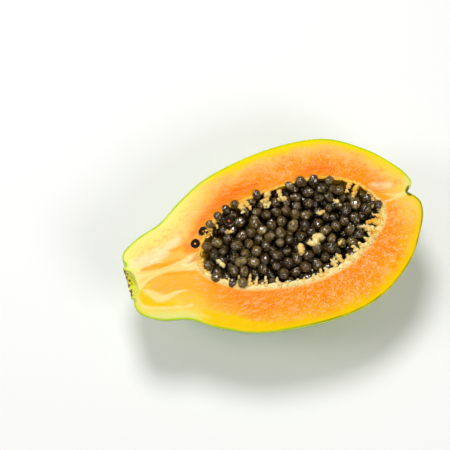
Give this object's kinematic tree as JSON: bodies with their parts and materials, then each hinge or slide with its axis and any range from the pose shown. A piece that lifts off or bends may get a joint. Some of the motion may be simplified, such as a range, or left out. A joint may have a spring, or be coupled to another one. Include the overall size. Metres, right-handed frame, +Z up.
{
  "type": "halved papaya fruit",
  "caption": "Ripe papaya fruit cut in half lengthwise, lying cut face up, with its lined cavity filled by dark seeds.",
  "frame": {"origin": "middle of the bounding box's underside, on the surface that the half rests on", "axes": "+X from the stem end to the blossom end, +Y to the narrower side, +Z up out of the cut face"},
  "size_m": [0.1596, 0.0978, 0.051],
  "materials": {
    "flesh_and_skin": "moist orange flesh, yellow near the edge, inside a thin smooth green and yellow skin",
    "placenta_lining": "pale cream, soft, torn into short fibres along its rim",
    "seed_coat": "dark olive brown, ridged, wet and shiny"
  },
  "bodies": {
    "root": {"papaya_half": "flesh_and_skin", "placenta": "placenta_lining", "seeds": "seed_coat"}
  },
  "joints": []
}
